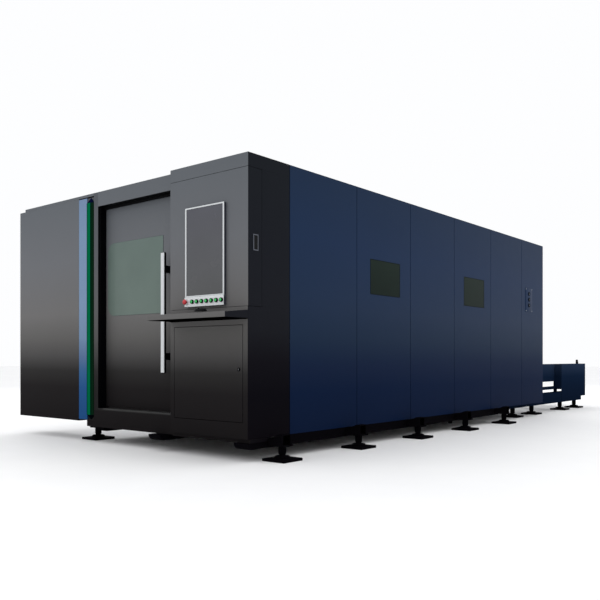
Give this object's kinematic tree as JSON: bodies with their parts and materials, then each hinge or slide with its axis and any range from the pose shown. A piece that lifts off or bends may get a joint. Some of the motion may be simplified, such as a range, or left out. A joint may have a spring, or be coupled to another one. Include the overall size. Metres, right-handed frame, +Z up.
{
  "type": "fiber laser cutting machine",
  "caption": "Enclosed flatbed laser cutter for sheet metal with a sliding front door, control console and a two-level pallet exchange table behind.",
  "frame": {"origin": "middle of the whole machine's footprint at floor level", "axes": "+Z up, +X to the right seen from the front, +Y from the front towards the exchange table"},
  "size_m": [3.522, 8.28, 2.3],
  "materials": {
    "bed_steel": "satin",
    "black_steel": "satin",
    "dark_grey": "satin",
    "blue_panel": "satin",
    "navy_frame": "satin",
    "inner_steel": "satin",
    "rail_steel": "satin",
    "green_light": "gloss",
    "blue_light": "gloss",
    "silver": "satin",
    "bar_silver": "satin",
    "screen_glass": "gloss",
    "tinted_glass": "gloss",
    "black_plastic": "matte",
    "green_button": "gloss",
    "red_button": "gloss",
    "head_metal": "satin",
    "slat_steel": "rough",
    "unit_grey": "satin"
  },
  "bodies": {
    "machine": {"accent_strip": "blue_light", "bed_frame": "bed_steel", "cabinet_cap": "dark_grey", "cabinet_frame": "dark_grey", "cabinet_walls": "dark_grey", "dividing_wall": "inner_steel", "door_posts": "black_steel", "door_sill": "silver", "drive_rack": "unit_grey", "enclosure_posts": "inner_steel", "foot_brackets": "black_steel", "front_header": "dark_grey", "front_skirt": "black_steel", "gantry_rails": "rail_steel", "keyboard_shelf": "dark_grey", "laser_source": "unit_grey", "left_side_panels": "blue_panel", "levelling_feet": "black_steel", "light_strip": "green_light", "mouse": "black_plastic", "pallet_tracks": "inner_steel", "rear_panels": "blue_panel", "right_front_panel": "black_steel", "right_side_panels": "blue_panel", "roof_panels": "blue_panel", "scrap_tray": "inner_steel", "service_plate": "blue_panel", "side_windows": "tinted_glass", "table_end_skins": "blue_panel", "table_frame": "navy_frame", "table_side_panels": "blue_panel", "window_panels": "blue_panel", "wing_front_panel": "dark_grey", "wing_shell": "dark_grey"},
    "front_door": {"front_door": "dark_grey", "front_window": "tinted_glass", "door_handle": "silver", "door_fittings": "black_steel"},
    "console_door": {"console_door": "dark_grey", "monitor_frame": "silver", "monitor_screen": "screen_glass", "button_panel": "bar_silver", "latch_frame": "silver"},
    "latch_paddle": {"latch_paddle": "black_plastic"},
    "emergency_stop": {"emergency_stop": "red_button"},
    "cabinet_door": {"cabinet_door": "dark_grey"},
    "door_lock": {"door_lock": "black_plastic"},
    "gantry": {"gantry_beam": "inner_steel"},
    "carriage": {"carriage": "inner_steel"},
    "cutting_head": {"cutting_head": "head_metal"},
    "pallet_upper": {"pallet_upper_grid": "slat_steel"},
    "pallet_lower": {"pallet_lower_grid": "slat_steel"},
    "rear_shutter": {"rear_shutter": "inner_steel"},
    "button_1": {"button_1": "green_button"},
    "button_2": {"button_2": "green_button"},
    "button_3": {"button_3": "green_button"},
    "button_4": {"button_4": "green_button"},
    "button_5": {"button_5": "green_button"},
    "button_6": {"button_6": "green_button"},
    "button_7": {"button_7": "green_button"}
  },
  "joints": [
    {"name": "front_door_slide", "type": "slide", "parent": "machine", "child": "front_door", "axis": [-1, 0, 0], "range_m": [0, 0.86]},
    {"name": "console_door_hinge", "type": "hinge", "parent": "machine", "child": "console_door", "pos_m": [0.702, -3.886, 1.165], "axis": [0, 0, -1], "range_deg": [0, 95]},
    {"name": "latch_paddle_hinge", "type": "hinge", "parent": "console_door", "child": "latch_paddle", "pos_m": [1.5575, -3.837, 1.64], "axis": [0, 0, -1], "range_deg": [0, 25], "stiffness_Nm_per_rad": 0.05},
    {"name": "button_1_press", "type": "slide", "parent": "console_door", "child": "button_1", "axis": [0, 1, 0], "range_m": [0, 0.004], "stiffness_N_per_m": 400},
    {"name": "button_2_press", "type": "slide", "parent": "console_door", "child": "button_2", "axis": [0, 1, 0], "range_m": [0, 0.004], "stiffness_N_per_m": 400},
    {"name": "button_3_press", "type": "slide", "parent": "console_door", "child": "button_3", "axis": [0, 1, 0], "range_m": [0, 0.004], "stiffness_N_per_m": 400},
    {"name": "button_4_press", "type": "slide", "parent": "console_door", "child": "button_4", "axis": [0, 1, 0], "range_m": [0, 0.004], "stiffness_N_per_m": 400},
    {"name": "button_5_press", "type": "slide", "parent": "console_door", "child": "button_5", "axis": [0, 1, 0], "range_m": [0, 0.004], "stiffness_N_per_m": 400},
    {"name": "button_6_press", "type": "slide", "parent": "console_door", "child": "button_6", "axis": [0, 1, 0], "range_m": [0, 0.004], "stiffness_N_per_m": 400},
    {"name": "button_7_press", "type": "slide", "parent": "console_door", "child": "button_7", "axis": [0, 1, 0], "range_m": [0, 0.004], "stiffness_N_per_m": 400},
    {"name": "emergency_stop_press", "type": "slide", "parent": "console_door", "child": "emergency_stop", "axis": [0, 1, 0], "range_m": [0, 0.006], "stiffness_N_per_m": 600},
    {"name": "cabinet_door_hinge", "type": "hinge", "parent": "machine", "child": "cabinet_door", "pos_m": [0.748, -3.893, 0.3], "axis": [0, 0, -1], "range_deg": [0, 110]},
    {"name": "door_lock_turn", "type": "hinge", "parent": "cabinet_door", "child": "door_lock", "pos_m": [1.462, -3.907, 0.693], "axis": [0, 1, 0], "range_deg": [0, 90]},
    {"name": "gantry_travel", "type": "slide", "parent": "machine", "child": "gantry", "axis": [0, 1, 0], "range_m": [0, 3.05]},
    {"name": "carriage_travel", "type": "slide", "parent": "gantry", "child": "carriage", "axis": [1, 0, 0], "range_m": [-0.75, 0.75]},
    {"name": "head_lift", "type": "slide", "parent": "carriage", "child": "cutting_head", "axis": [0, 0, 1], "range_m": [-0.07, 0.09]},
    {"name": "pallet_exchange", "type": "slide", "parent": "machine", "child": "pallet_upper", "axis": [0, 1, 0], "range_m": [0, 3.99]},
    {"name": "pallet_return", "type": "slide", "parent": "machine", "child": "pallet_lower", "axis": [0, 1, 0], "range_m": [-3.99, 0]},
    {"name": "rear_shutter_lift", "type": "slide", "parent": "machine", "child": "rear_shutter", "axis": [0, 0, 1], "range_m": [-0.37, 0]}
  ],
  "couplings": [
    {"joint": "pallet_return", "follows": "pallet_exchange", "ratio": -1}
  ]
}
